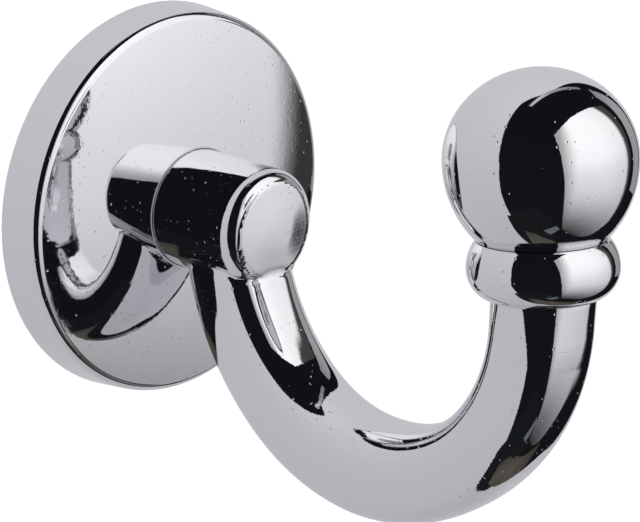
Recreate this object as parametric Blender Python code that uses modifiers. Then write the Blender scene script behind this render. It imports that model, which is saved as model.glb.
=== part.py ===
"""A chrome robe hook on a round rose, as a set of separate solids.

World frame, in metres: the wall is the plane Y = 0, the hook stands out towards -Y and +Z is up.
The origin is the middle of the wall bracket's back face, on the axis of the rose and the stem.

Two working frames keep the sums short:
  wall frame    local Z is the height off the wall, local Y is up
  knob frame    local Z runs up the end of the arm, from the bottom face of the collar
"""

import math

import bmesh
import bpy
from mathutils import Matrix, Vector

MM = 0.001

# Shared clearances and the finish of cuts
SEAT_GAP = 0.3 * MM  # between two pieces that touch
CUT_OVERRUN = 1.0 * MM  # how far a cutter runs past what it cuts
MERGE = 0.01 * MM

# Rose: a hollow cap with a leaning band, a rounded edge and a domed face
ROSE_RADIUS = 27.5 * MM  # at the wall
ROSE_BAND_LEAN = 0.75 * MM  # how much smaller it is where band and face would meet
ROSE_BAND_HEIGHT = 6.0 * MM
ROSE_DOME_RISE = 2.2 * MM
ROSE_EDGE_RADIUS = 0.9 * MM
ROSE_INNER_FILLET = 0.6 * MM
ROSE_WALL = 1.8 * MM
ROSE_BOSS_WALL = 1.3 * MM  # inside, round the head of the hook screw
ROSE_BOSS_ROOM = 0.9 * MM  # between the boss and the floor of the bracket's recess
STEM_SEAT_SINK = 0.4 * MM  # spot face for the stem, below the dome
ROSE_SIDES = 72

# Stem: a short post with a slight taper and a crowned end
STEM_ROOT_RADIUS = 8.25 * MM
STEM_END_RADIUS = 8.05 * MM
STEM_SHOULDER_HEIGHT = 20.9 * MM  # off the wall, where the rounded shoulder starts
STEM_SHOULDER_RADIUS = 2.1 * MM
STEM_CROWN_RISE = 0.9 * MM
STEM_SIDES = 64

# Arm: a tapered bar of rounded square section, bent through three arcs, that ends round in the collar
ARM_FRONT_INSET = 0.3 * MM  # of the bar's front side behind the rim of the stem's face
ARM_START_DROP = 3.1 * MM  # below the stem's axis
ARM_START_LEAN = math.radians(10.8)  # from straight down, away from the wall
ARM_NECK_BEND = (31.8 * MM, math.radians(43.2))  # radius, angle
ARM_BOWL_BEND = (23.9 * MM, math.radians(88.6))
ARM_RISE_BEND = (25.5 * MM, math.radians(43.7))
ARM_END_STRAIGHT = 2.5 * MM
ARM_ROOT_RADIUS = 6.9 * MM  # over the section's rounded corners, as the three below
ARM_BOWL_RADIUS = 6.95 * MM
ARM_WAIST_RADIUS = 6.2 * MM
ARM_TIP_RADIUS = 6.25 * MM
ARM_BOWL_SHARE = 0.46  # shares of the arm's length where those radii stand
ARM_WAIST_SHARE = 0.72
ARM_SQUARENESS = 2.7  # power of the section: 2 is round, more is squarer
ARM_ROUNDING_SHARE = 0.9  # where the section starts to turn round
ARM_ROUND_SHARE = 0.985  # where it is round, at the collar
ARM_STEP = 2.2 * MM
ARM_SIDES = 40

# Collar: a bead under the ball, with a socket for the end of the arm
COLLAR_BEAD_RADIUS = 4.1 * MM  # of the bead's round section
COLLAR_LIP = 0.15 * MM  # round the socket, at the foot
COLLAR_OVERHANG = 2.35 * MM  # of the bead's widest ring past the foot
COLLAR_LEDGE = 0.4 * MM  # of the collar's top round the ball's flat
COLLAR_SOCKET_DEPTH = 1.5 * MM
COLLAR_SIDES = 48

# Ball knob
BALL_RADIUS = 11.45 * MM
BALL_SEAT_SHARE = 0.65  # radius of the ball's flat, as a share of the ball's
BALL_SIDES = 48

# Stud that holds the ball and the collar to the arm
STUD_RADIUS = 2.5 * MM
STUD_IN_ARM = 8.0 * MM
STUD_SHORTFALL = 1.2 * MM  # of its end below the ball's centre
STUD_END_ROOM = 1.0 * MM

# Countersunk screw from the inside of the rose into the stem
HOOK_SCREW_RADIUS = 2.5 * MM
HOOK_SCREW_HEAD_RADIUS = 4.6 * MM
HOOK_SCREW_LENGTH = 12.0 * MM
HOOK_SCREW_SOCKET = 3.0 * MM  # across flats
HOOK_SCREW_END_ROOM = 0.8 * MM

# Locating pip on the back of the stem, which keeps the hook from turning on the rose
PIP_RADIUS = 0.9 * MM
PIP_LENGTH = 1.3 * MM  # below the back face of the stem
PIP_WEB = 0.6 * MM  # of rose between its hole and the hook screw's countersink

# Wall bracket: a disc with an undercut edge and two undercut flats
BRACKET_SIDE_ROOM = 3.3 * MM  # inside the rose's wall, so that the rose can be tilted on
BRACKET_HEAD_ROOM = 0.65 * MM  # under the rose's inner face, at the bracket's edge
BRACKET_UNDERCUT = 2.0 * MM  # how much smaller the back is, all round
BRACKET_FLAT_CUT = 1.0 * MM  # how far each flat stands inside the round edge
BRACKET_EDGE_BREAK = 0.3 * MM
BRACKET_RECESS_DEPTH = 1.2 * MM
BRACKET_LIFT_PLAY = 0.2 * MM  # in the recess, past what the rose is lifted to hook on
BRACKET_SIDES = 64

# Two wood screws, one above the other
WALL_SCREW_RADIUS = 1.75 * MM
WALL_SCREW_HEAD_RADIUS = 3.5 * MM
WALL_SCREW_LENGTH = 25.0 * MM
WALL_SCREW_POINT = 5.0 * MM
CROSS_RECESS_LENGTH = 3.8 * MM
CROSS_RECESS_WIDTH = 0.9 * MM
CROSS_RECESS_DEPTH = 1.4 * MM

# Heads of countersunk screws
HEAD_RIM = 0.3 * MM
SCREW_END_CHAMFER = 0.5 * MM
SOCKET_DEPTH_SHARE = 0.55  # of the head's cone and rim
SCREW_SIDES = 24

# Catch inside the top of the rose, which hangs behind the bracket's upper flat
CATCH_WIDTH = 14.0 * MM
CATCH_BACK_HEIGHT = 0.3 * MM
CATCH_THICKNESS = 2.4 * MM

# Grub screw through the bottom of the rose, with its boss
GRUB_RADIUS = 1.5 * MM
GRUB_SINK = 0.9 * MM  # of its outer end below the rose's band
GRUB_HEIGHT = 2.7 * MM  # off the wall
GRUB_POINT_RADIUS = 0.4 * MM
GRUB_POINT_LENGTH = 1.1 * MM
GRUB_END_CHAMFER = 0.25 * MM
GRUB_SOCKET = 1.5 * MM  # across flats
GRUB_SOCKET_DEPTH = 1.8 * MM
GRUB_BOSS_WIDTH = 7.2 * MM
GRUB_BOSS_ROOM = 1.0 * MM  # between the boss and the bracket's round edge
GRUB_BOSS_BACK_HEIGHT = 0.3 * MM
GRUB_BOSS_EDGE = 0.5 * MM

CHROME = ((0.80, 0.80, 0.82), 0.05, 1.0)
ZINC = ((0.55, 0.56, 0.57), 0.38, 1.0)
BLACK_STEEL = ((0.05, 0.05, 0.055), 0.42, 1.0)
PLATED_STEEL = ((0.62, 0.60, 0.55), 0.3, 1.0)


# Outline maths

def arc(centre, radius, start, end, steps):
    """Points on a circle, from one angle to another."""
    turns = [start + (end - start) * i / steps for i in range(steps + 1)]
    return [(centre[0] + radius * math.cos(a), centre[1] + radius * math.sin(a)) for a in turns]


def rounded(before, corner, after, radius, steps):
    """The arc of that radius that touches both lines of a corner."""
    corner = Vector(corner)
    first = (Vector(before) - corner).normalized()
    second = (Vector(after) - corner).normalized()
    half = first.angle(second) / 2
    middle = corner + (first + second).normalized() * radius / math.sin(half)
    start = corner + first * radius / math.tan(half)
    end = corner + second * radius / math.tan(half)
    sweep = (start - middle).angle_signed(end - middle)
    points = []
    for i in range(steps + 1):
        spoke = start - middle
        spoke.rotate(Matrix.Rotation(-sweep * i / steps, 2))
        points.append(tuple(middle + spoke))
    return points


# Blender helpers

def collection(name):
    made = bpy.data.collections.new(name)
    bpy.context.scene.collection.children.link(made)
    return made


def material(name, look):
    colour, roughness, metallic = look
    made = bpy.data.materials.new(name)
    made.use_nodes = True
    shader = made.node_tree.nodes["Principled BSDF"]
    shader.inputs["Base Color"].default_value = (*colour, 1)
    shader.inputs["Roughness"].default_value = roughness
    shader.inputs["Metallic"].default_value = metallic
    return made


def baked(name, source):
    """A plain mesh object from what the source evaluates to, in its place; the source is removed."""
    bpy.context.view_layer.update()
    mesh = bpy.data.meshes.new_from_object(source.evaluated_get(bpy.context.evaluated_depsgraph_get()))
    made = bpy.data.objects.new(name, mesh)
    made.matrix_world = source.matrix_world.copy()
    bpy.data.objects.remove(source)
    WORK.objects.link(made)
    shell = bmesh.new()
    shell.from_mesh(mesh)
    bmesh.ops.remove_doubles(shell, verts=shell.verts, dist=MERGE)
    bmesh.ops.recalc_face_normals(shell, faces=shell.faces)
    shell.to_mesh(mesh)
    shell.free()
    return made


def turned(name, outline, sides, frame, ring=False):
    """A solid turned round local Z from (radius, height) points, outer side first, top to bottom."""
    mesh = bpy.data.meshes.new(name)
    links = [(i, i + 1) for i in range(len(outline) - 1)]
    if ring:
        links.append((len(outline) - 1, 0))
    mesh.from_pydata([(r, 0, h) for r, h in outline], links, [])
    source = bpy.data.objects.new(name + "_outline", mesh)
    source.matrix_world = frame
    WORK.objects.link(source)
    screw = source.modifiers.new("turn", "SCREW")
    screw.steps = sides
    screw.render_steps = sides
    screw.use_merge_vertices = True
    screw.merge_threshold = MERGE
    return baked(name, source)


def prism(name, outline, half_width, frame):
    """A flat outline in (up, height) points, given its width along local X."""
    curve = bpy.data.curves.new(name, "CURVE")
    curve.dimensions = "2D"
    curve.fill_mode = "BOTH"
    curve.extrude = half_width
    spline = curve.splines.new("POLY")
    spline.points.add(len(outline) - 1)
    for point, (up, height) in zip(spline.points, outline):
        point.co = (up, height, 0, 1)
    spline.use_cyclic_u = True
    source = bpy.data.objects.new(name + "_outline", curve)
    across = Matrix(((0, 0, 1), (1, 0, 0), (0, 1, 0))).to_4x4()
    source.matrix_world = frame @ across
    WORK.objects.link(source)
    return baked(name, source)


def block(name, size, middle, edge, frame):
    """A box with rounded edges."""
    bpy.ops.mesh.primitive_cube_add(size=1)
    source = bpy.context.object
    source.data.transform(Matrix.Diagonal((*size, 1)))
    source.matrix_world = frame @ Matrix.Translation(middle)
    if edge:
        bevel = source.modifiers.new("edges", "BEVEL")
        bevel.width = edge
        bevel.segments = 2
    return baked(name, source)


def rod(name, radius, bottom, top, sides, frame, turn=0.0):
    """A plain cylinder on local Z, between two heights."""
    bpy.ops.mesh.primitive_cylinder_add(vertices=sides, radius=radius, depth=top - bottom)
    source = bpy.context.object
    middle = Matrix.Translation((0, 0, (top + bottom) / 2))
    source.matrix_world = frame @ middle @ Matrix.Rotation(turn, 4, "Z")
    return baked(name, source)


def combine(target, tool, operation):
    """Joins or cuts with a live Boolean; the tool stays in the cutters' collection."""
    change = target.modifiers.new(tool.name, "BOOLEAN")
    change.operation = operation
    change.object = tool
    change.solver = "EXACT"
    tool.hide_render = True
    tool.display_type = "WIRE"
    WORK.objects.unlink(tool)
    CUTTERS.objects.link(tool)


def finished(obj, look):
    """Files a piece under the object's collection with its material and smooth shading."""
    obj.data.materials.clear()
    obj.data.materials.append(look)
    obj.data.shade_smooth()
    obj.data.set_sharp_from_angle(angle=math.radians(35))
    WORK.objects.unlink(obj)
    PIECES.objects.link(obj)
    return obj


# The two working frames

def wall_frame(x=0.0, up=0.0, height=0.0):
    return Matrix.Translation((x, -height, up)) @ Matrix.Rotation(math.radians(90), 4, "X")


def arm_bends():
    return (ARM_NECK_BEND, ARM_BOWL_BEND, ARM_RISE_BEND)


def arm_start_height():
    """Off the wall, inside the stem."""
    return stem_face_height() - ARM_FRONT_INSET - ARM_ROOT_RADIUS


def arm_path():
    """The arm's centre line as (up, height) points, with its heading at the end."""
    place = Vector((-ARM_START_DROP, arm_start_height()))
    heading = Vector((-math.cos(ARM_START_LEAN), math.sin(ARM_START_LEAN)))
    points = [place.copy()]
    for radius, angle in arm_bends():
        steps = math.ceil(radius * angle / ARM_STEP)
        side = Vector((heading.y, -heading.x))
        middle = place + side * radius
        start = place - middle
        for i in range(1, steps + 1):
            spoke = start.copy()
            spoke.rotate(Matrix.Rotation(-angle * i / steps, 2))
            points.append(middle + spoke)
        place = points[-1].copy()
        heading.rotate(Matrix.Rotation(-angle, 2))
    points.append(place + heading * ARM_END_STRAIGHT)
    return points, heading


def knob_frame():
    """Local Z up the arm's end, from the collar's bottom face."""
    points, heading = arm_path()
    seat = COLLAR_SOCKET_DEPTH - SEAT_GAP
    foot = points[-1] - heading * seat
    lean = math.atan2(heading.y, heading.x)
    return Matrix.Translation((0, -foot.y, foot.x)) @ Matrix.Rotation(lean, 4, "X")


# Heights that several pieces share

def rose_radius(height):
    """Of the band's outside, at a height off the wall."""
    return ROSE_RADIUS - ROSE_BAND_LEAN * height / ROSE_BAND_HEIGHT


def rose_front_radius():
    return rose_radius(ROSE_BAND_HEIGHT)


def dome_radius():
    return (rose_front_radius()**2 + ROSE_DOME_RISE**2) / (2 * ROSE_DOME_RISE)


def dome_height(radius, sink=0.0):
    """Height of the rose's face off the wall at a radius, or of the same dome sunk by a wall."""
    ball = dome_radius() - sink
    centre = ROSE_BAND_HEIGHT + ROSE_DOME_RISE - dome_radius()
    return centre + math.sqrt(ball**2 - radius**2)


def stem_seat_radius():
    return STEM_ROOT_RADIUS + SEAT_GAP


def stem_seat_height():
    return dome_height(stem_seat_radius()) - STEM_SEAT_SINK


def stem_back_height():
    return stem_seat_height() + SEAT_GAP


def stem_face_height():
    """Of the rim of the stem's end face, above its rounded shoulder."""
    return STEM_SHOULDER_HEIGHT + STEM_SHOULDER_RADIUS


def bracket_radius():
    """Of the bracket's front."""
    return ROSE_RADIUS - ROSE_WALL - BRACKET_SIDE_ROOM


def bracket_thickness():
    return dome_height(bracket_radius(), ROSE_WALL) - BRACKET_HEAD_ROOM


def bracket_lean():
    """How much the bracket's edge and flats draw in per unit of depth."""
    return BRACKET_UNDERCUT / bracket_thickness()


def bracket_flat(height, gap=0.0):
    """Distance from the axis of the bracket's flats, or of a face that clears them, at a height."""
    front = bracket_radius() - BRACKET_FLAT_CUT
    return front - (bracket_thickness() - height) * bracket_lean() + gap * math.hypot(1, bracket_lean())


def recess_floor_height():
    return bracket_thickness() - BRACKET_RECESS_DEPTH


def boss_radius():
    return HOOK_SCREW_HEAD_RADIUS + SEAT_GAP + ROSE_BOSS_WALL


def boss_face_height():
    return recess_floor_height() + ROSE_BOSS_ROOM


def recess_radius():
    """Room for the rose's boss while the catch is lifted over the bracket's upper flat."""
    lift = bracket_flat(bracket_thickness()) - bracket_flat(CATCH_BACK_HEIGHT, SEAT_GAP)
    return boss_radius() + lift + BRACKET_LIFT_PLAY


def wall_screw_distance():
    """From the axis to each wood screw, halfway between the recess and the flat."""
    return (recess_radius() + bracket_flat(bracket_thickness())) / 2


def wall_screw_top():
    """Height off the wall of the wood screws' heads, just below the bracket's front."""
    return bracket_thickness() - SEAT_GAP


def pip_hole_bottom():
    return stem_back_height() - PIP_LENGTH - SEAT_GAP


def pip_distance():
    """From the stem's axis to the pip, clear of the hook screw's countersink."""
    hole = HOOK_SCREW_RADIUS + SEAT_GAP
    cone_foot = boss_face_height() + HEAD_RIM
    cone = HOOK_SCREW_HEAD_RADIUS + SEAT_GAP - (pip_hole_bottom() - cone_foot)
    return max(hole, cone) + PIP_WEB + PIP_RADIUS + SEAT_GAP


def collar_foot_radius():
    return ARM_TIP_RADIUS + SEAT_GAP + COLLAR_LIP


def collar_bead_centre():
    """Distance of the bead section's centre from the axis."""
    return collar_foot_radius() + COLLAR_OVERHANG - COLLAR_BEAD_RADIUS


def ball_seat_radius():
    return BALL_RADIUS * BALL_SEAT_SHARE


def collar_belly():
    """Height of the bead's widest ring above the collar's foot, and of its top above that ring."""
    middle = collar_bead_centre()
    top_radius = ball_seat_radius() + COLLAR_LEDGE
    below = math.sqrt(COLLAR_BEAD_RADIUS**2 - (collar_foot_radius() - middle)**2)
    above = math.sqrt(COLLAR_BEAD_RADIUS**2 - (top_radius - middle)**2)
    return below, above


def knob_seat_height():
    """Where the ball's flat stands in the knob frame."""
    return sum(collar_belly()) + SEAT_GAP


def ball_centre_height():
    return knob_seat_height() + math.sqrt(BALL_RADIUS**2 - ball_seat_radius()**2)


def stud_top_height():
    return ball_centre_height() - STUD_SHORTFALL


# Pieces

def make_rose():
    corner = (rose_front_radius(), ROSE_BAND_HEIGHT)
    foot = (ROSE_RADIUS, 0)
    lean = ROSE_BAND_LEAN / ROSE_BAND_HEIGHT
    wall_across = ROSE_WALL * math.hypot(1, lean)
    edge = rounded((stem_seat_radius(), dome_height(stem_seat_radius())), corner, foot, ROSE_EDGE_RADIUS, 5)
    outer_face = dome_points(edge[0][0], stem_seat_radius(), 0, 5)
    inner_radius = rose_front_radius() - wall_across + lean * ROSE_WALL
    inner_corner = (inner_radius, dome_height(inner_radius, ROSE_WALL))
    inner_foot = (ROSE_RADIUS - wall_across, 0)
    inner_centre = (boss_radius(), dome_height(boss_radius(), ROSE_WALL))
    inner_edge = rounded(inner_foot, inner_corner, inner_centre, ROSE_INNER_FILLET, 3)
    inner_face = dome_points(inner_edge[-1][0], boss_radius(), ROSE_WALL, 3)
    hole = HOOK_SCREW_RADIUS + SEAT_GAP
    sink = HOOK_SCREW_HEAD_RADIUS + SEAT_GAP
    face = boss_face_height()
    outline = [(hole, stem_seat_height()), (stem_seat_radius(), stem_seat_height())]
    outline += outer_face[::-1]
    outline += edge
    outline += [foot, inner_foot]
    outline += inner_edge
    outline += inner_face[1:]
    outline += [(boss_radius(), face), (sink, face), (sink, face + HEAD_RIM)]
    outline += [(hole, face + HEAD_RIM + sink - hole)]
    rose = turned("rose", outline, ROSE_SIDES, wall_frame(), ring=True)
    combine(rose, make_catch(), "UNION")
    combine(rose, make_grub_boss(), "UNION")
    bore = wall_frame(height=GRUB_HEIGHT) @ Matrix.Rotation(math.radians(90), 4, "X")
    grub_hole = rod("grub_hole", GRUB_RADIUS + SEAT_GAP, grub_boss_distance() - CUT_OVERRUN,
                    ROSE_RADIUS + CUT_OVERRUN, SCREW_SIDES, bore)
    combine(rose, grub_hole, "DIFFERENCE")
    pip_hole = rod("pip_hole", PIP_RADIUS + SEAT_GAP, pip_hole_bottom(), stem_seat_height() + CUT_OVERRUN,
                   SCREW_SIDES, wall_frame(up=pip_distance()))
    combine(rose, pip_hole, "DIFFERENCE")
    return rose


def dome_points(outer, inner, sink, steps):
    """The dome's outline between two radii, outer end first."""
    radii = [outer + (inner - outer) * i / steps for i in range(steps + 1)]
    return [(r, dome_height(r, sink)) for r in radii]


def make_catch():
    """A bar across the top of the rose whose lower face leans with the bracket's flat."""
    back = CATCH_BACK_HEIGHT
    front = back + CATCH_THICKNESS
    rim = rose_front_radius() - SEAT_GAP
    corner = math.sqrt(rim**2 - (CATCH_WIDTH / 2)**2)
    outline = [(bracket_flat(back, SEAT_GAP), back), (corner, back)]
    outline += [(corner, front), (bracket_flat(front, SEAT_GAP), front)]
    return prism("catch", outline, CATCH_WIDTH / 2, wall_frame())


def grub_boss_distance():
    """From the rose's axis to the boss's inner face."""
    return bracket_radius() + GRUB_BOSS_ROOM


def make_grub_boss():
    """A block inside the bottom of the rose that gives the grub screw its thread."""
    inner = grub_boss_distance()
    outer = rose_front_radius() - ROSE_WALL / 2
    top = dome_height(inner, ROSE_WALL / 2)
    size = (GRUB_BOSS_WIDTH, outer - inner, top - GRUB_BOSS_BACK_HEIGHT)
    middle = (0, -(outer + inner) / 2, (top + GRUB_BOSS_BACK_HEIGHT) / 2)
    return block("grub_boss", size, middle, GRUB_BOSS_EDGE, wall_frame())


def make_hook_body():
    """The stem and the arm, one casting."""
    back = stem_back_height()
    shoulder = STEM_SHOULDER_HEIGHT
    crown_edge = STEM_END_RADIUS - STEM_SHOULDER_RADIUS
    face = stem_face_height()
    crown = (crown_edge**2 + STEM_CROWN_RISE**2) / (2 * STEM_CROWN_RISE)
    steps = 4
    outline = []
    for i in range(steps + 1):
        r = crown_edge * i / steps
        outline.append((r, face + STEM_CROWN_RISE - crown + math.sqrt(crown**2 - r**2)))
    outline += arc((crown_edge, shoulder), STEM_SHOULDER_RADIUS, math.radians(90), 0, 6)[1:]
    outline += [(STEM_ROOT_RADIUS, back), (0, back)]
    body = turned("hook_body", outline, STEM_SIDES, wall_frame())
    combine(body, make_arm(), "UNION")
    screw_end = boss_face_height() + HOOK_SCREW_LENGTH
    screw_hole = rod("hook_screw_hole", HOOK_SCREW_RADIUS + SEAT_GAP, back - CUT_OVERRUN,
                     screw_end + HOOK_SCREW_END_ROOM, SCREW_SIDES, wall_frame())
    combine(body, screw_hole, "DIFFERENCE")
    pip = rod("pip", PIP_RADIUS, back - PIP_LENGTH, back + PIP_LENGTH, SCREW_SIDES,
              wall_frame(up=pip_distance()))
    combine(body, pip, "UNION")
    arm_end = COLLAR_SOCKET_DEPTH - SEAT_GAP
    stud_hole = rod("arm_stud_hole", STUD_RADIUS + SEAT_GAP, arm_end - STUD_IN_ARM - STUD_END_ROOM,
                    arm_end + CUT_OVERRUN, SCREW_SIDES, knob_frame())
    combine(body, stud_hole, "DIFFERENCE")
    return body


def arm_radius(share):
    """The bar's radius along its length, eased between the four named stations."""
    stations = (
        (0.0, ARM_ROOT_RADIUS),
        (ARM_BOWL_SHARE, ARM_BOWL_RADIUS),
        (ARM_WAIST_SHARE, ARM_WAIST_RADIUS),
        (1.0, ARM_TIP_RADIUS),
    )
    for (low, first), (high, second) in zip(stations, stations[1:]):
        if share <= high:
            t = (share - low) / (high - low)
            ease = t * t * (3 - 2 * t)
            return first + (second - first) * ease
    return ARM_TIP_RADIUS


def section_radius(angle, share):
    """Of the bar's outline, at an angle from its side, where the corners stand at a radius of one."""
    power = ARM_SQUARENESS
    reach = (abs(math.cos(angle))**power + abs(math.sin(angle))**power)**(1 / power)
    square = 2**(1 / power - 1 / 2) / reach
    t = (share - ARM_ROUNDING_SHARE) / (ARM_ROUND_SHARE - ARM_ROUNDING_SHARE)
    return square + (1 - square) * min(max(t, 0), 1)


def make_arm():
    """Rings of the section along the centre line, closed at both ends."""
    points, _ = arm_path()
    runs = [(b - a).length for a, b in zip(points, points[1:])]
    rings = []
    for i, place in enumerate(points):
        share = sum(runs[:i]) / sum(runs)
        along = (points[min(i + 1, len(points) - 1)] - points[max(i - 1, 0)]).normalized()
        out = Vector((-along.y, along.x))
        ring = []
        for k in range(ARM_SIDES):
            angle = 2 * math.pi * k / ARM_SIDES
            radius = arm_radius(share) * section_radius(angle, share)
            spot = place + out * radius * math.sin(angle)
            ring.append((radius * math.cos(angle), spot.x, spot.y))
        rings.append(ring)
    faces = [range(ARM_SIDES), range(len(points) * ARM_SIDES - ARM_SIDES, len(points) * ARM_SIDES)]
    for i in range(len(points) - 1):
        for k in range(ARM_SIDES):
            near = i * ARM_SIDES + k
            far = i * ARM_SIDES + (k + 1) % ARM_SIDES
            faces.append((near, far, far + ARM_SIDES, near + ARM_SIDES))
    mesh = bpy.data.meshes.new("arm")
    mesh.from_pydata([corner for ring in rings for corner in ring], [], [tuple(face) for face in faces])
    source = bpy.data.objects.new("arm_rings", mesh)
    source.matrix_world = wall_frame()
    WORK.objects.link(source)
    return baked("arm", source)


def make_collar():
    """A ring with a round belly, bored for the stud and socketed for the arm."""
    below, above = collar_belly()
    bore = STUD_RADIUS + SEAT_GAP
    socket = ARM_TIP_RADIUS + SEAT_GAP
    belly = arc((collar_bead_centre(), below), COLLAR_BEAD_RADIUS, math.asin(above / COLLAR_BEAD_RADIUS),
                -math.asin(below / COLLAR_BEAD_RADIUS), 12)
    outline = [(bore, below + above)]
    outline += belly
    outline += [(socket, 0), (socket, COLLAR_SOCKET_DEPTH), (bore, COLLAR_SOCKET_DEPTH)]
    return turned("collar", outline, COLLAR_SIDES, knob_frame(), ring=True)


def make_ball():
    seat = knob_seat_height()
    centre = ball_centre_height()
    lowest = -math.acos(ball_seat_radius() / BALL_RADIUS)
    hole = STUD_RADIUS + SEAT_GAP
    hole_top = stud_top_height() + STUD_END_ROOM
    outline = arc((0, centre), BALL_RADIUS, math.radians(90), lowest, 20)
    outline += [(hole, seat), (hole, hole_top), (0, hole_top)]
    return turned("ball_knob", outline, BALL_SIDES, knob_frame())


def make_stud():
    bottom = COLLAR_SOCKET_DEPTH - SEAT_GAP - STUD_IN_ARM
    top = stud_top_height()
    edge = SCREW_END_CHAMFER
    outline = [(0, top), (STUD_RADIUS - edge, top), (STUD_RADIUS, top - edge)]
    outline += [(STUD_RADIUS, bottom + edge), (STUD_RADIUS - edge, bottom), (0, bottom)]
    return turned("knob_stud", outline, SCREW_SIDES, knob_frame())


def countersunk(name, radius, head_radius, length, point, frame):
    """A countersunk screw, the top of its head at local zero and its shank towards -Z."""
    tip_radius = 0.0 if point > SCREW_END_CHAMFER else radius - point
    neck = HEAD_RIM + head_radius - radius
    outline = [(0, 0), (head_radius, 0), (head_radius, -HEAD_RIM), (radius, -neck)]
    outline += [(radius, -length + point), (tip_radius, -length)]
    if tip_radius:
        outline.append((0, -length))
    return turned(name, outline, SCREW_SIDES, frame)


def hex_socket(name, across_flats, depth, frame):
    return rod(name, across_flats / math.sqrt(3), -depth, CUT_OVERRUN, 6, frame)


def make_hook_screw():
    place = wall_frame(height=boss_face_height()) @ Matrix.Rotation(math.radians(180), 4, "X")
    screw = countersunk("hook_screw", HOOK_SCREW_RADIUS, HOOK_SCREW_HEAD_RADIUS, HOOK_SCREW_LENGTH,
                        SCREW_END_CHAMFER, place)
    head = HEAD_RIM + HOOK_SCREW_HEAD_RADIUS - HOOK_SCREW_RADIUS
    socket = hex_socket("hook_screw_socket", HOOK_SCREW_SOCKET, head * SOCKET_DEPTH_SHARE, place)
    combine(screw, socket, "DIFFERENCE")
    return screw


def make_bracket():
    front = bracket_radius()
    thick = bracket_thickness()
    floor = recess_floor_height()
    outline = [(0, floor), (recess_radius(), floor), (recess_radius(), thick)]
    outline += [(front - BRACKET_EDGE_BREAK, thick), (front, thick - BRACKET_EDGE_BREAK)]
    outline += [(front - BRACKET_UNDERCUT, 0), (0, 0)]
    bracket = turned("wall_bracket", outline, BRACKET_SIDES, wall_frame())
    low = -CUT_OVERRUN
    high = thick + CUT_OVERRUN
    past = front + CUT_OVERRUN
    for side, name in ((1, "upper_flat"), (-1, "lower_flat")):
        flat = [(bracket_flat(low), low), (past, low), (past, high), (bracket_flat(high), high)]
        combine(bracket, prism(name, [(side * up, h) for up, h in flat], past, wall_frame()), "DIFFERENCE")
        hole = screw_hole("bracket_" + name + "_hole", wall_frame(up=side * wall_screw_distance()))
        combine(bracket, hole, "DIFFERENCE")
    return bracket


def screw_hole(name, frame):
    """A countersunk through hole with a gap all round the wood screw."""
    gap = SEAT_GAP * math.sqrt(2)
    head = WALL_SCREW_HEAD_RADIUS + gap
    shank = WALL_SCREW_RADIUS + SEAT_GAP
    rim = wall_screw_top() - HEAD_RIM
    outline = [(0, bracket_thickness() + CUT_OVERRUN), (head, bracket_thickness() + CUT_OVERRUN)]
    outline += [(head, rim), (shank, rim - head + shank), (shank, -CUT_OVERRUN), (0, -CUT_OVERRUN)]
    return turned(name, outline, SCREW_SIDES, frame)


def make_wall_screw(name, side):
    place = wall_frame(up=side * wall_screw_distance(), height=wall_screw_top())
    screw = countersunk(name, WALL_SCREW_RADIUS, WALL_SCREW_HEAD_RADIUS, WALL_SCREW_LENGTH,
                        WALL_SCREW_POINT, place)
    depth = CROSS_RECESS_DEPTH + CUT_OVERRUN
    middle = (0, 0, (CUT_OVERRUN - CROSS_RECESS_DEPTH) / 2)
    upright = block(name + "_slot", (CROSS_RECESS_WIDTH, CROSS_RECESS_LENGTH, depth), middle, 0, place)
    across = block(name + "_cross", (CROSS_RECESS_LENGTH, CROSS_RECESS_WIDTH, depth), middle, 0, place)
    combine(screw, upright, "DIFFERENCE")
    combine(screw, across, "DIFFERENCE")
    return screw


def make_grub_screw():
    """Origin on its own axis, at the tip; local Z runs down, out of the rose."""
    tip_distance = bracket_flat(GRUB_HEIGHT, SEAT_GAP)
    length = rose_radius(GRUB_HEIGHT) - GRUB_SINK - tip_distance
    place = wall_frame(up=-tip_distance, height=GRUB_HEIGHT)
    place = place @ Matrix.Rotation(math.radians(90), 4, "X")
    edge = GRUB_END_CHAMFER
    outline = [(0, length), (GRUB_RADIUS - edge, length), (GRUB_RADIUS, length - edge)]
    outline += [(GRUB_RADIUS, GRUB_POINT_LENGTH), (GRUB_POINT_RADIUS, 0), (0, 0)]
    grub = turned("grub_screw", outline, SCREW_SIDES, place)
    socket = hex_socket("grub_socket", GRUB_SOCKET, GRUB_SOCKET_DEPTH,
                        place @ Matrix.Translation((0, 0, length)))
    combine(grub, socket, "DIFFERENCE")
    return grub


for old in list(bpy.data.objects):
    bpy.data.objects.remove(old)
PIECES = collection("robe_hook")
CUTTERS = collection("cutters")
WORK = bpy.context.scene.collection

chrome = material("polished chrome", CHROME)
zinc = material("bare zinc casting", ZINC)
black_steel = material("black oxide steel", BLACK_STEEL)
plated_steel = material("zinc plated steel", PLATED_STEEL)

finished(make_rose(), chrome)
finished(make_hook_body(), chrome)
finished(make_collar(), chrome)
finished(make_ball(), chrome)
finished(make_stud(), plated_steel)
finished(make_hook_screw(), plated_steel)
finished(make_bracket(), zinc)
finished(make_wall_screw("wall_screw_upper", 1), plated_steel)
finished(make_wall_screw("wall_screw_lower", -1), plated_steel)
finished(make_grub_screw(), black_steel)
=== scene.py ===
# %% [markdown]
# # A polished robe hook, dressed for the camera
#
# This lesson takes a finished set of plain solids and gives it the look of the real thing. The object is a
# small bathroom hook: a domed rose on the wall, a short turned stem, an arm bent like a J, a rounded collar
# and a ball. Nearly all of it is one finish, polished chrome plate, and chrome has hardly any colour of its
# own. What the eye reads is the room in it. So two things decide the picture: how smooth and true the
# surfaces are, and what stands around them. Everything is in metres, in the frame of the solids: the wall
# is the plane Y = 0, the hook points to -Y, and Z is up.

# %% Load the solids as a fixed frame
import math

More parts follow.
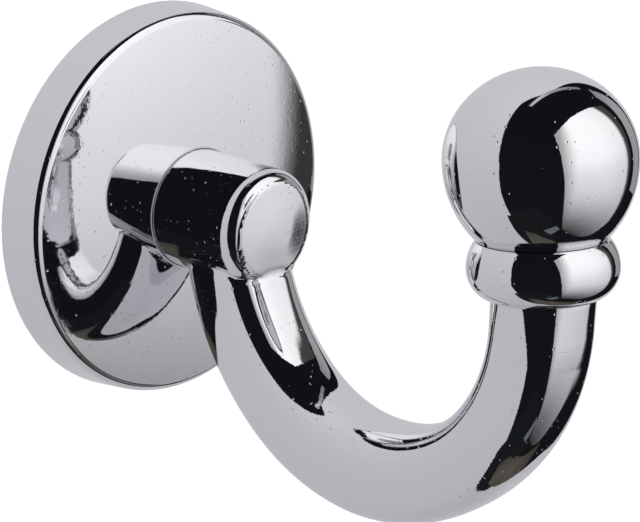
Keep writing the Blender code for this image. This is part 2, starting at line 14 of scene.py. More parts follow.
import bmesh
import bpy
import numpy as np
from mathutils import Matrix, Vector


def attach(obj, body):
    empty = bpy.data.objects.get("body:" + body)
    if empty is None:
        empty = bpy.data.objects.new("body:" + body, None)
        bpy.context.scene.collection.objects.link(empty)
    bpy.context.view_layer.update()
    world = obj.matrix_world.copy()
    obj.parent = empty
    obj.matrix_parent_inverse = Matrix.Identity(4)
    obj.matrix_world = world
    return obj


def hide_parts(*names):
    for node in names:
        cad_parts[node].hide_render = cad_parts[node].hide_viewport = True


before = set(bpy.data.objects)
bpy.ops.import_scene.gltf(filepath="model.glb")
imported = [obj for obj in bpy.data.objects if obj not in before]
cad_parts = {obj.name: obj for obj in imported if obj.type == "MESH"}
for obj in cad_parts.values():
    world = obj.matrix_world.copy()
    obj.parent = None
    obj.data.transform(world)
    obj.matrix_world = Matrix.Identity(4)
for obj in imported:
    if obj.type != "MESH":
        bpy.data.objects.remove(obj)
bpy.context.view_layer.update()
MM = 0.001
print("solids:", ", ".join(sorted(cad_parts)))

# %% [markdown]
# ## The camera
#
# The camera comes first, because every later choice is judged through it. It stands to the left of the hook
# and a little above it, close by, with a long lens. Its place was worked out from the circles of the rose,
# the stem, the collar and the ball, whose ellipses say from where they are seen.

# %% Place the camera
CAMERA_PLACE = Vector((-0.17435, -0.18596, 0.06692))
CAMERA_TARGET = Vector((-0.00145, -0.03247, -0.00172))
CAMERA_ROLL = math.radians(2.62)
CAMERA_LENS = 105.1

camera_data = bpy.data.cameras.new("camera")
camera_data.lens = CAMERA_LENS
camera_data.clip_start = 0.01
camera = bpy.data.objects.new("camera", camera_data)
looking_back = (CAMERA_PLACE - CAMERA_TARGET).normalized()
upright = looking_back.to_track_quat("Z", "Y").to_matrix().to_4x4()
camera.matrix_world = Matrix.Translation(CAMERA_PLACE) @ upright @ Matrix.Rotation(CAMERA_ROLL, 4, "Z")
bpy.context.scene.collection.objects.link(camera)
bpy.context.scene.camera = camera
print("camera to target:", round((CAMERA_PLACE - CAMERA_TARGET).length, 4), "m")

# %% [markdown]
# ## Two working frames
#
# Every round form here is turned round one of two lines: the axis of the rose and stem, which stands square
# to the wall, or the axis of the collar and ball, at the end of the arm. Each piece is drawn as an outline
# of (radius, height) points beside its axis and then carried to its place by a matrix. The sizes repeat
# those of the solids, so that each visible piece stands where its solid stands.

# %% Sizes that several pieces share
ROSE_RADIUS = 27.5 * MM
ROSE_FRONT_RADIUS = 26.75 * MM
ROSE_BAND_HEIGHT = 6.0 * MM
ROSE_DOME_RISE = 2.2 * MM
ROSE_WALL = 1.8 * MM
STEM_ROOT_RADIUS = 8.25 * MM
STEM_END_RADIUS = 8.05 * MM
STEM_SHOULDER_HEIGHT = 20.9 * MM
STEM_SHOULDER_RADIUS = 2.1 * MM
STEM_CROWN_RISE = 0.7 * MM
STEM_FACE_HEIGHT = STEM_SHOULDER_HEIGHT + STEM_SHOULDER_RADIUS
ARM_ROOT_RADIUS = 6.9 * MM
ARM_BOWL_RADIUS = 6.95 * MM
ARM_WAIST_RADIUS = 6.2 * MM
ARM_TIP_RADIUS = 6.25 * MM
ARM_SQUARENESS = 2.7
STUD_RADIUS = 2.5 * MM


def wall_frame(up=0.0, height=0.0):
    """Local Z off the wall, local Y up."""
    return Matrix.Translation((0, -height, up)) @ Matrix.Rotation(math.radians(90), 4, "X")


def dome_height(radius, sink=0.0):
    """Height off the wall of the rose's domed face, or of the same dome one wall deeper."""
    ball = (ROSE_FRONT_RADIUS**2 + ROSE_DOME_RISE**2) / (2 * ROSE_DOME_RISE)
    centre = ROSE_BAND_HEIGHT + ROSE_DOME_RISE - ball
    return centre + math.sqrt((ball - sink)**2 - radius**2)


print("the middle of the rose stands", round(1000 * dome_height(0), 2), "mm off the wall")

# %% [markdown]
# ## Outlines
#
# A mirror finish shows every flat spot, so the outlines are far denser than those of the solids. Points
# crowd together at the ends of each line and arc: there the shading runs from one form into the next, and a
# long face next to a short one would show as a smear in the reflection.

# %% Helpers for outlines
def eased(steps):
    """Shares from 0 to 1 that lie closer together at both ends."""
    return [(1 - math.cos(math.pi * i / steps)) / 2 for i in range(steps + 1)]


def straight(start, end, steps):
    return [tuple(Vector(start).lerp(Vector(end), t)) for t in eased(steps)]


def arc(centre, radii, start, end, steps):
    """Points on an ellipse whose half axes lie along radius and height; angles in radians."""
    turns = [start + (end - start) * i / steps for i in range(steps + 1)]
    return [(centre[0] + radii[0] * math.cos(a), centre[1] + radii[1] * math.sin(a)) for a in turns]


def rounded(before, corner, after, radius, steps):
    """The arc of that radius that touches both lines of a corner."""
    corner = Vector(corner)
    first = (Vector(before) - corner).normalized()
    second = (Vector(after) - corner).normalized()
    half = first.angle(second) / 2
    middle = corner + (first + second).normalized() * radius / math.sin(half)
    start = corner + first * radius / math.tan(half)
    sweep = (start - middle).angle_signed(corner + second * radius / math.tan(half) - middle)
    points = []
    for i in range(steps + 1):
        spoke = start - middle
        spoke.rotate(Matrix.Rotation(-sweep * i / steps, 2))
        points.append(tuple(middle + spoke))
    return points


print("an eased line of 4 steps:", [round(t, 2) for t in eased(4)])

# %% [markdown]
# Turning an outline by hand in mesh code, rather than with a modifier, gives full say over how many faces
# go round and where the poles are.

# %% Helpers for turned meshes
def mesh_object(name, points, faces, place=None):
    mesh = bpy.data.meshes.new(name)
    mesh.from_pydata([tuple(p) for p in points], [], faces)
    mesh.transform(place or Matrix.Identity(4))
    mesh.shade_smooth()
    made = bpy.data.objects.new(name, mesh)
    bpy.context.scene.collection.objects.link(made)
    return made


def circle(radius, height, sides):
    """A ring of points round local Z, or a single point where the radius is 0."""
    turns = [2 * math.pi * i / sides for i in range(sides if radius > 0 else 1)]
    return [(radius * math.cos(a), radius * math.sin(a), height) for a in turns]


def skinned(name, circles, sides, place, ring=False):
    """A mesh from circles of points, each joined to the next, and the last to the first for a ring."""
    points = []
    numbers = []
    for spots in circles:
        numbers.append([len(points) + i for i in range(len(spots))])
        points += spots
    faces = []
    for upper, lower in zip(numbers, numbers[1:] + numbers[:1] * ring):
        for i in range(sides):
            j = (i + 1) % sides
            corners = [side[k % len(side)] for side, k in ((upper, i), (lower, i), (lower, j), (upper, j))]
            faces.append(tuple(dict.fromkeys(corners)))
    return mesh_object(name, points, faces, place)


def turned(name, outline, sides, place, ring=False):
    """Turns an outline round local Z; outer side first, from the top down."""
    return skinned(name, [circle(radius, height, sides) for radius, height in outline], sides, place, ring)


print("points in a ring of 6 sides:", len(circle(1, 0, 6)), "and at a pole:", len(circle(0, 0, 6)))

# %% [markdown]
# A boolean joins or cuts where the real casting has a boss or a bore. What it makes is put into the mesh at
# once, so that the next step starts from plain faces. Smooth shading would blur the corners that it leaves,
# so the sharp ones are marked.

# %% Helpers for joining and cutting
CORNER_ANGLE = 30


def recalculated(target, bevel=0.0):
    """Turns all faces outwards, and rounds every edge by that much if asked."""
    shape = bmesh.new()
    shape.from_mesh(target.data)
    bmesh.ops.recalc_face_normals(shape, faces=shape.faces)
    if bevel:
        bmesh.ops.bevel(shape, geom=shape.edges[:], offset=bevel, segments=3, profile=0.5, affect="EDGES")
    shape.to_mesh(target.data)
    shape.free()
    return target


def evaluated(target):
    """Puts what the modifiers make into the object's own mesh."""
    mesh = bpy.data.meshes.new_from_object(target.evaluated_get(bpy.context.evaluated_depsgraph_get()))
    target.modifiers.clear()
    target.data = mesh


def carve(target, tool, operation="DIFFERENCE"):
    change = target.modifiers.new("carve", "BOOLEAN")
    change.operation = operation
    change.object = tool
    change.solver = "EXACT"
    bpy.context.view_layer.update()
    evaluated(target)
    bpy.data.objects.remove(tool)


def crisp(target, degrees=CORNER_ANGLE):
    """Keeps real corners sharp in a smooth-shaded mesh."""
    target.data.shade_smooth()
    target.data.set_sharp_from_angle(angle=math.radians(degrees))


print("corners stay sharp from", CORNER_ANGLE, "degrees")

# %% [markdown]
# ## The rose
#
# The rose is a hollow zinc casting: a shallow cap with a slightly leaning side band, a polished domed face
# and an even wall. It is turned from one closed outline, outside and inside, so that a view from behind
# finds the real hollow with its fillet and its screw boss. A bead as fine as a hair runs round the seat of
# the stem and catches the light as a thin bright line. The catch at the top and the block that holds the
# grub screw are joined on, as they are cast on.

# %% Turn the rose
STEM_SEAT_PLAY = 0.05 * MM
STEM_SEAT_RADIUS = STEM_ROOT_RADIUS + STEM_SEAT_PLAY
STEM_SEAT_HEIGHT = dome_height(STEM_SEAT_RADIUS) - 0.15 * MM
SCREW_BOSS_RADIUS = 6.2 * MM
SCREW_BOSS_HEIGHT = 3.893 * MM
SCREW_HEAD_ROOM = 4.9 * MM
SCREW_BORE = 2.8 * MM
SEAM_BEAD = 0.09 * MM
ROSE_EDGE_RADIUS = 1.3 * MM
RIM_EDGE_RADIUS = 0.15 * MM
HOLLOW_FILLET = 0.6 * MM
SEAT_EDGE_RADIUS = 0.03 * MM

face_inner = (STEM_SEAT_RADIUS, dome_height(STEM_SEAT_RADIUS))
face_corner = (ROSE_FRONT_RADIUS, ROSE_BAND_HEIGHT)
rim_outer = (ROSE_RADIUS, 0.0)
rim_inner = (ROSE_RADIUS - ROSE_WALL - 0.014 * MM, 0.0)
hollow_corner_radius = ROSE_FRONT_RADIUS - ROSE_WALL + 0.21 * MM
hollow_corner = (hollow_corner_radius, dome_height(hollow_corner_radius, ROSE_WALL))
hollow_centre = (SCREW_BOSS_RADIUS, dome_height(SCREW_BOSS_RADIUS, ROSE_WALL))


def dome_run(outer, inner, sink, steps):
    return [(r, dome_height(r, sink)) for r in (outer + (inner - outer) * t for t in eased(steps))]


outer_edge = rounded(face_inner, face_corner, rim_outer, ROSE_EDGE_RADIUS, 18)
foot_edge = rounded(face_corner, rim_outer, rim_inner, RIM_EDGE_RADIUS, 4)
lip_edge = rounded(rim_outer, rim_inner, hollow_corner, RIM_EDGE_RADIUS, 4)
hollow_edge = rounded(rim_inner, hollow_corner, hollow_centre, HOLLOW_FILLET, 8)

seat_inner = (SCREW_BORE, STEM_SEAT_HEIGHT)
seat_corner = (STEM_SEAT_RADIUS, STEM_SEAT_HEIGHT)
bead_middle = STEM_SEAT_RADIUS + SEAM_BEAD
rose_outline = [
    seat_inner, (STEM_SEAT_RADIUS - STEM_SEAT_PLAY, STEM_SEAT_HEIGHT),
    *rounded(seat_inner, seat_corner, face_inner, SEAT_EDGE_RADIUS, 2),
    *arc((bead_middle, dome_height(bead_middle)), (SEAM_BEAD, SEAM_BEAD), math.pi, 0, 10),
    *dome_run(outer_edge[0][0], bead_middle + SEAM_BEAD, 0.0, 60)[::-1][1:],
    *outer_edge[1:-1],
    *straight(outer_edge[-1], foot_edge[0], 16),
    *foot_edge[1:], *lip_edge,
    *straight(lip_edge[-1], hollow_edge[0], 6)[1:],
    *hollow_edge[1:],
    *dome_run(hollow_edge[-1][0], SCREW_BOSS_RADIUS, ROSE_WALL, 14)[1:],
    (SCREW_BOSS_RADIUS, SCREW_BOSS_HEIGHT), (SCREW_HEAD_ROOM, SCREW_BOSS_HEIGHT),
    (SCREW_BORE, SCREW_BOSS_HEIGHT + SCREW_HEAD_ROOM - SCREW_BORE)]
rose = turned("rose_shell", rose_outline, 288, wall_frame(), ring=True)
print("rose:", len(rose.data.polygons), "faces")

# %% [markdown]
# The catch is a bar across the top of the hollow, whose lower face leans so that it hooks behind the wall
# bracket. Opposite it, a block gives the grub screw metal to turn in. Both are cast with the rose, so their
# edges are soft and they grow out of its wall.

# %% Join the catch and the grub screw's block, then bore the rose
GRUB_HEIGHT = 2.7 * MM
CATCH_HALF_WIDTH = 7.0 * MM
BLOCK_HALF_WIDTH = 3.6 * MM


def bar(name, outline, half_width, edge, place):
    """A bar along local X from (up, height) points, with its edges rounded."""
    count = len(outline)
    points = [(x, up, height) for x in (-half_width, half_width) for up, height in outline]
    faces = [tuple(range(count)), tuple(range(count, 2 * count))]
    faces += [(i, (i + 1) % count, count + (i + 1) % count, count + i) for i in range(count)]
    return recalculated(mesh_object(name, points, faces, place), edge)


def in_mm(*spots):
    """Points written in millimetres."""
    return [tuple(c * MM for c in spot) for spot in spots]


catch_outline = in_mm((19.9, 0.3), (25.4, 0.3), (25.4, 2.7), (21.05, 2.7))
block_outline = in_mm((-23.4, 0.3), (-25.85, 0.3), (-25.85, 5.5), (-23.4, 5.5))
carve(rose, bar("catch", catch_outline, CATCH_HALF_WIDTH, 0.3 * MM, wall_frame()), "UNION")
carve(rose, bar("grub_block", block_outline, BLOCK_HALF_WIDTH, 0.4 * MM, wall_frame()), "UNION")
bore_place = wall_frame(height=GRUB_HEIGHT) @ Matrix.Rotation(math.radians(90), 4, "X")
bore_outline = in_mm((0, 28.5), (1.95, 28.5), (1.95, 27.1), (1.62, 26.75), (1.62, 22.5), (0, 22.5))
carve(rose, turned("grub_bore", bore_outline, 48, bore_place))
crisp(rose)
print("rose with its bosses:", len(rose.data.polygons), "faces")

# %% [markdown]
# ## The casting of stem and arm
#
# The arm and the stem are one casting, and the join between them is the hard part of this object: the bar
# grows out of the underside of the stem with a small fillet all round, almost flush with the stem's end. In
# modelling, a fillet between a cone and a bent, tapering bar is awkward to build from faces. So here the
# form is written down first as a distance: a function that says how far any point is from the surface. Two
# distances blend into one with a round fillet in a single line of arithmetic.
#
# The arm's line is three arcs and a short straight end. The collar and the ball have a line of their own,
# which leans a few degrees more towards the wall than the bar's end does, as a stud in a bored casting well
# may.

# %% The arm's centre line
ARM_START = Vector((-3.1 * MM, 15.8 * MM))
ARM_LEAN = math.radians(10.8)
ARM_BENDS = ((31.8 * MM, math.radians(43.2)),
             (23.9 * MM, math.radians(88.6)),
             (25.5 * MM, math.radians(38.7)))
ARM_END_STRAIGHT = 4.73 * MM
KNOB_FOOT = Vector((1.53 * MM, 66.325 * MM))
KNOB_LEAN = math.radians(-6.3)


def arm_line():
    """Arcs as (middle, radius, first angle, turn) in the plane of (up, height), then the end and heading."""
    place = ARM_START.copy()
    heading = Vector((-math.cos(ARM_LEAN), math.sin(ARM_LEAN)))
    arcs = []
    for radius, turn in ARM_BENDS:
        middle = place + Vector((heading.y, -heading.x)) * radius
        spoke = place - middle
        arcs.append((middle.copy(), radius, math.atan2(spoke.y, spoke.x), -turn))
        spoke.rotate(Matrix.Rotation(-turn, 2))
        heading.rotate(Matrix.Rotation(-turn, 2))
        place = middle + spoke
    return arcs, place + heading * ARM_END_STRAIGHT, heading


ARM_ARCS, ARM_END, ARM_HEADING = arm_line()
ARM_LENGTH = sum(radius * abs(turn) for _, radius, _, turn in ARM_ARCS) + ARM_END_STRAIGHT


def knob_frame():
    """Local Z up the end of the arm, from the bottom face of the collar."""
    return Matrix.Translation((0, -KNOB_FOOT.y, KNOB_FOOT.x)) @ Matrix.Rotation(KNOB_LEAN, 4, "X")


print("arm:", round(1000 * ARM_LENGTH, 1), "mm along its centre line")

# %% [markdown]
# The distance to the arm is measured from its bent centre line. The bar isn't round but a square with very
# round corners, which shows in the broad flat bands that it mirrors; only where it enters the collar does
# it turn round. The numbers are handled as whole arrays, so that tens of thousands of points are measured
# at once.

# %% The distance to the bar of the arm
ARM_BOWL_SHARE = 0.46
ARM_WAIST_SHARE = 0.72
ARM_ROUNDING_SHARE = 0.9
ARM_ROUND_SHARE = 0.985


def bar_radius(share):
    """The bar's radius over its corners along its length, eased between four measured stations."""
    radii = (ARM_ROOT_RADIUS, ARM_BOWL_RADIUS, ARM_WAIST_RADIUS, ARM_TIP_RADIUS)
    stations = (0.0, ARM_BOWL_SHARE, ARM_WAIST_SHARE, 1.0)
    made = np.full(share.shape, radii[0])
    for i in range(3):
        t = np.clip((share - stations[i]) / (stations[i + 1] - stations[i]), 0, 1)
        made += (radii[i + 1] - radii[i]) * t * t * (3 - 2 * t)
    return made


def section_reach(across, out, share):
    """The distance from the centre line, stretched so that a rounded square counts as a circle."""
    power = ARM_SQUARENESS
    square = (np.abs(across)**power + out**power)**(1 / power) * 2**(1 / 2 - 1 / power)
    t = np.clip((share - ARM_ROUNDING_SHARE) / (ARM_ROUND_SHARE - ARM_ROUNDING_SHARE), 0, 1)
    return square + (np.hypot(across, out) - square) * t


def arm_distance(x, up, height):
    nearest = np.full(x.shape, np.inf)
    along = np.zeros(x.shape)
    done = 0.0
    for middle, radius, first, turn in ARM_ARCS:
        angle = (np.arctan2(height - middle.y, up - middle.x) - first + np.pi) % (2 * np.pi) - np.pi
        t = np.clip(angle / turn, 0, 1)
        spot_up = middle.x + radius * np.cos(first + turn * t)
        spot_height = middle.y + radius * np.sin(first + turn * t)
        gap = np.hypot(up - spot_up, height - spot_height)
        along = np.where(gap < nearest, done + radius * abs(turn) * t, along)
        nearest = np.minimum(gap, nearest)
        done += radius * abs(turn)
    past_end = (up - ARM_END.x) * ARM_HEADING.x + (height - ARM_END.y) * ARM_HEADING.y
    reach = np.clip(past_end, -ARM_END_STRAIGHT, 0)
    gap = np.hypot(up - ARM_END.x - reach * ARM_HEADING.x, height - ARM_END.y - reach * ARM_HEADING.y)
    along = np.where(gap < nearest, ARM_LENGTH + reach, along)
    nearest = np.minimum(gap, nearest)
    share = along / ARM_LENGTH
    return np.maximum(section_reach(x, nearest, share) - bar_radius(share), past_end)


print("the bar halfway along:", round(2000 * float(bar_radius(np.array([0.5]))[0]), 2), "mm over its corners")

# %% [markdown]
# The distance to the stem comes from its side and its end, rounded together at the shoulder, with a low
# crown on the end. Where arm and stem meet, a shallow crease lies in the fillet: the wheel that polishes
# the two forms can't reach in there.

# %% The distance to the whole casting
STEM_BACK_HEIGHT = STEM_SEAT_HEIGHT + 0.02 * MM
FILLET = 0.28 * MM
CROWN_FILLET = 0.5 * MM
CREASE_DEPTH = 0.22 * MM
CREASE_WIDTH = 0.35 * MM


def blend(one, other, radius):
    """The union of two distances, with a round fillet of that radius."""
    inner = np.hypot(np.maximum(radius - one, 0), np.maximum(radius - other, 0))
    return np.maximum(radius, np.minimum(one, other)) - inner


def stem_distance(x, up, height):
    across = np.hypot(x, up)
    taper = (STEM_ROOT_RADIUS - STEM_END_RADIUS) / (STEM_SHOULDER_HEIGHT - STEM_BACK_HEIGHT)
    side = across - STEM_END_RADIUS - (STEM_SHOULDER_HEIGHT - height) * taper + STEM_SHOULDER_RADIUS
    top = height - STEM_FACE_HEIGHT + STEM_SHOULDER_RADIUS
    corner = np.hypot(np.maximum(side, 0), np.maximum(top, 0))
    post = np.minimum(np.maximum(side, top), 0) + corner - STEM_SHOULDER_RADIUS
    edge = STEM_END_RADIUS - STEM_SHOULDER_RADIUS
    ball = (edge**2 + STEM_CROWN_RISE**2) / (2 * STEM_CROWN_RISE)
    crown = np.hypot(across, height - STEM_FACE_HEIGHT - STEM_CROWN_RISE + ball) - ball
    crown = np.maximum(crown, across - edge - CROWN_FILLET)
    return np.maximum(blend(post, crown, CROWN_FILLET), STEM_BACK_HEIGHT - height)


def casting_distance(points):
    """Points as rows of world coordinates; negative inside."""
    x, height, up = points[:, 0], -points[:, 1], points[:, 2]
    arm, stem = arm_distance(x, up, height), stem_distance(x, up, height)
    crease = CREASE_DEPTH * np.exp(-((arm - stem) / CREASE_WIDTH)**2)
    return blend(arm, stem, FILLET) + crease


probe = np.array([(0, -0.015, 0.0), (0, -0.03, 0.0)])
print("distance inside the stem, and in front of it, in mm:", np.round(1000 * casting_distance(probe), 2))

# %% [markdown]
# A rough skin comes first: two overlapping tubes, melted into one mesh of even quads by a voxel remesh.

# %% A rough skin for the casting
SKIN_VOXEL = 0.36 * MM


def rough_arm():
    """Rings of vertices round the centre line, with closed ends."""
    steps, sides = 40, 48
    line = []
    for middle, radius, first, turn in ARM_ARCS:
        line += [(middle, radius, first + turn * i / steps) for i in range(steps)]
    share = np.linspace(0, 1 - ARM_END_STRAIGHT / ARM_LENGTH, len(line))
    rings = []
    for (middle, radius, angle), thick in zip(line, bar_radius(share)):
        out = Vector((math.cos(angle), math.sin(angle)))
        rings.append((middle + out * radius, out, thick))
    rings.append((ARM_END, Vector((-ARM_HEADING.y, ARM_HEADING.x)), ARM_TIP_RADIUS))
    points = []
    for place, out, thick in rings:
        for i in range(sides):
            a = 2 * math.pi * i / sides
            spot = place + out * thick * math.cos(a)
            points.append((thick * math.sin(a), -spot.y, spot.x))
    faces = [tuple(range(sides)), tuple(range(len(points) - sides, len(points)))]
    for ring in range(len(rings) - 1):
        for i in range(sides):
            j = (i + 1) % sides
            faces.append(tuple(ring * sides + k for k in (i, j, j + sides, i + sides)))
    return recalculated(mesh_object("arm_rough", points, faces))


stem_face_radius = STEM_END_RADIUS - STEM_SHOULDER_RADIUS
shoulder = (STEM_SHOULDER_RADIUS, STEM_SHOULDER_RADIUS)
stem_outline = [
    (0, STEM_FACE_HEIGHT + STEM_CROWN_RISE), (stem_face_radius, STEM_FACE_HEIGHT),
    *arc((stem_face_radius, STEM_SHOULDER_HEIGHT), shoulder, math.radians(90), 0, 8)[1:],
    (STEM_ROOT_RADIUS, STEM_BACK_HEIGHT), (0, STEM_BACK_HEIGHT)]
casting = turned("hook_casting", stem_outline, 96, wall_frame())
carve(casting, rough_arm(), "UNION")
melt = casting.modifiers.new("melt", "REMESH")
melt.mode = "VOXEL"
melt.voxel_size = SKIN_VOXEL
bpy.context.view_layer.update()
evaluated(casting)
print("rough skin:", len(casting.data.polygons), "faces")

# %% [markdown]
# Then every vertex slides along the slope of the distance until it lies on the true surface. Some sixty in
# the bottom of the crease stop short, by 0.2 mm at most. The same slope is the exact surface direction, and
# it is stored as the vertex normal. That is what makes the reflections run clean over the join, as they do
# on a part that was polished after casting.

# %% Slide the skin onto the true surface
SLIDES = 8


def slope(points):
    step = 0.002 * MM
    shifts = np.eye(3) * step
    rise = [casting_distance(points + s) - casting_distance(points - s) for s in shifts]
    rise = np.stack(rise, axis=1)
    return rise / np.linalg.norm(rise, axis=1, keepdims=True)


skin = np.empty(3 * len(casting.data.vertices))
casting.data.vertices.foreach_get("co", skin)
skin = skin.reshape(-1, 3)
for _ in range(SLIDES):
    skin -= slope(skin) * casting_distance(skin)[:, None]
casting.data.vertices.foreach_set("co", skin.ravel())
casting.data.update()
casting.data.shade_smooth()
casting.data.normals_split_custom_set_from_vertices(slope(skin))
print("casting:", len(skin), "vertices; furthest from the true surface",
      round(1e6 * float(np.abs(casting_distance(skin)).max()), 2), "micrometres")

# %% [markdown]
# ## The collar and the ball
#
# Both are turned forms on a line of their own. Neither is a perfect circle in section: the collar's belly
# is a little flatter above than below, and the ball is slightly drawn out towards the collar, as a
# polishing wheel leaves it. The collar also sits a hair further out than the ball. The two meet in a fine
# dark line.

# %% Turn the collar
COLLAR_WIDEST = 9.04 * MM
COLLAR_BELLY = 3.5 * MM
COLLAR_WAIST_HEIGHT = 3.6 * MM
COLLAR_FOOT_SINE = 0.966
COLLAR_TOP_SINE = 0.74
KNOB_SEAT_HEIGHT = 6.914 * MM
COLLAR_SHIFT = 0.18 * MM
SOCKET_DEPTH = 1.25 * MM
collar_middle = (COLLAR_WIDEST - COLLAR_BELLY, COLLAR_WAIST_HEIGHT)
low_axes = (COLLAR_BELLY, COLLAR_WAIST_HEIGHT / COLLAR_FOOT_SINE)
high_axes = (COLLAR_BELLY, (KNOB_SEAT_HEIGHT - COLLAR_WAIST_HEIGHT) / COLLAR_TOP_SINE)
collar_lower = arc(collar_middle, low_axes, 0, -math.asin(COLLAR_FOOT_SINE), 30)
collar_upper = arc(collar_middle, high_axes, math.asin(COLLAR_TOP_SINE), 0, 24)
foot_radius = collar_lower[-1][0]
socket_radius = ARM_TIP_RADIUS + 0.04 * MM
stud_bore = STUD_RADIUS + 0.3 * MM
collar_outline = [
    (stud_bore, KNOB_SEAT_HEIGHT), *collar_upper, *collar_lower[1:],
    (socket_radius, 0.05 * MM), (socket_radius, SOCKET_DEPTH), (stud_bore, SOCKET_DEPTH)]
collar_place = Matrix.Translation((0, -COLLAR_SHIFT, 0)) @ knob_frame()
collar = turned("collar_bead", collar_outline, 192, collar_place, ring=True)
crisp(collar)
print("collar:", round(2000 * COLLAR_WIDEST, 1), "mm across; foot", round(2000 * foot_radius, 1), "mm across")

# %% [markdown]
# The ball is two half ellipses that share their widest ring, the lower one a little longer. It is cut off
# flat where it sits on the collar, and a bore from there takes the end of the stud. With 256 faces round
# and 112 in height, the bent lines of the room run over it without a visible step.

# %% Turn the ball
BALL_RADIUS = 11.42 * MM
BALL_RING_HEIGHT = 16.3 * MM
BALL_TOP_RISE = 10.74 * MM
BALL_FOOT_DROP = 12.6 * MM
STUD_BORE_TOP = 15.4 * MM
ball_seat = KNOB_SEAT_HEIGHT + 0.02 * MM
ball_low_angle = -math.asin((BALL_RING_HEIGHT - ball_seat) / BALL_FOOT_DROP)
ball_upper = arc((0, BALL_RING_HEIGHT), (BALL_RADIUS, BALL_TOP_RISE), math.radians(90), 0, 64)
ball_lower = arc((0, BALL_RING_HEIGHT), (BALL_RADIUS, BALL_FOOT_DROP), 0, ball_low_angle, 48)
ball_outline = [
    (0, BALL_RING_HEIGHT + BALL_TOP_RISE), *ball_upper[1:], *ball_lower[1:],
    (stud_bore, ball_seat), (stud_bore, STUD_BORE_TOP), (0, STUD_BORE_TOP)]
ball = turned("ball_polished", ball_outline, 256, knob_frame())
crisp(ball)
print("ball:", round(2000 * BALL_RADIUS, 1), "mm across; its flat", round(2000 * ball_lower[-1][0], 1), "mm")

# %% [markdown]
# ## The hidden fixing
#
# From behind, the hook shows how it is put up. A cast disc is screwed to the wall with two wood screws, the
# rose hooks over its upper flat, and a grub screw from below locks it. The disc's edge and flats lean
# inwards towards the wall, which draws the rose tight. So the disc is turned first, and its two flats and
# two countersunk holes are cut from it.

# %% Turn and cut the wall bracket
SCREW_DISTANCE = 14.662 * MM
SCREW_TOP = 3.893 * MM
RECESS_EDGE = 0.2 * MM

plate_outline = [
    *in_mm((0, 2.993), (7.925, 2.993)),
    *arc((8.125 * MM, 3.993 * MM), (RECESS_EDGE, RECESS_EDGE), math.pi, math.pi / 2, 4),
    *in_mm((22.1, 4.193), (22.3, 4.1), (22.4, 3.9), (20.5, 0.2), (20.25, 0), (0, 0))]
bracket = turned("wall_plate", plate_outline, 192, wall_frame())
for side in (1, -1):
    flat = in_mm((18.92, -1), (25, -1), (25, 5.2), (21.88, 5.2))
    carve(bracket, bar("flat", [(side * up, h) for up, h in flat], 24 * MM, 0.02 * MM, wall_frame()))
    hole = in_mm((0, 5.2), (3.92, 5.2), (3.92, 3.6), (2.05, 1.73),
                 (2.05, 0.25), (2.4, -0.1), (2.4, -1), (0, -1))
    carve(bracket, turned("hole", hole, 48, wall_frame(up=side * SCREW_DISTANCE)))
crisp(bracket)
print("bracket:", len(bracket.data.polygons), "faces; holes", round(2000 * SCREW_DISTANCE, 1), "mm apart")

# %% [markdown]
# ## Threads
#
# The screws get real threads. A thread is a grid of rows and columns whose radius swells along a helix: the
# phase of each point says how far it lies from the middle of the flank. A boolean of a coiled shape would
# be slower and full of slivers. The wood screws have a cross recess.

# %% Cut threads on the wood screws
FLANK_SHARE = 0.3
TURN_STEPS = 12
THREAD_CORNER_ANGLE = 50


def threaded(name, head, shank, pitch, sides, place):
    """The head's outline, then a shank with a helix: stations of (core radius, crest radius, height)."""
    circles = [circle(radius, height, sides) for radius, height in head]
    heights = np.arange(shank[0][2], shank[-1][2], -pitch / TURN_STEPS)
    stations = np.array(shank)[::-1]
    core = np.interp(heights, stations[:, 2], stations[:, 0])
    crest = np.interp(heights, stations[:, 2], stations[:, 1])
    for height, low, high in zip(heights, core, crest):
        spots = []
        for i in range(sides):
            a = 2 * math.pi * i / sides
            phase = (height / pitch - i / sides) % 1
            radius = low + (high - low) * max(0.0, 1 - abs(phase - 0.5) / FLANK_SHARE)
            spots.append((radius * math.cos(a), radius * math.sin(a), height))
        circles.append(spots)
    return skinned(name, circles + [[(0, 0, shank[-1][2])]], sides, place)


WOOD_PITCH = 1.4 * MM
wood_head = in_mm((0, 0), (3.35, 0), (3.5, -0.1), (3.5, -0.3), (1.75, -2.05))
wood_shank = in_mm((1.3, 1.3, -2.6), (1.3, 1.75, -5.0), (1.2, 1.75, -20), (0.05, 0.2, -25))
wood_screws = []
for name, side in (("wood_screw_upper", 1), ("wood_screw_lower", -1)):
    place = wall_frame(up=side * SCREW_DISTANCE, height=SCREW_TOP)
    screw = threaded(name, wood_head, wood_shank, WOOD_PITCH, 40, place)
    for across, along in in_mm((0.45, 1.9), (1.9, 0.45)):
        slot = [(along, -1.4 * MM), (along, 1 * MM), (-along, 1 * MM), (-along, -1.4 * MM)]
        carve(screw, bar("slot", slot, across, 0.05 * MM, place))
    crisp(screw, THREAD_CORNER_ANGLE)
    wood_screws.append(screw)
print("faces with threads:", [len(screw.data.polygons) for screw in wood_screws])

# %% [markdown]
# The grub screw comes from the same helper. It has no head: a fine thread runs over its whole length, up to
# the cone of its tip, and a hexagonal socket takes the key from below.

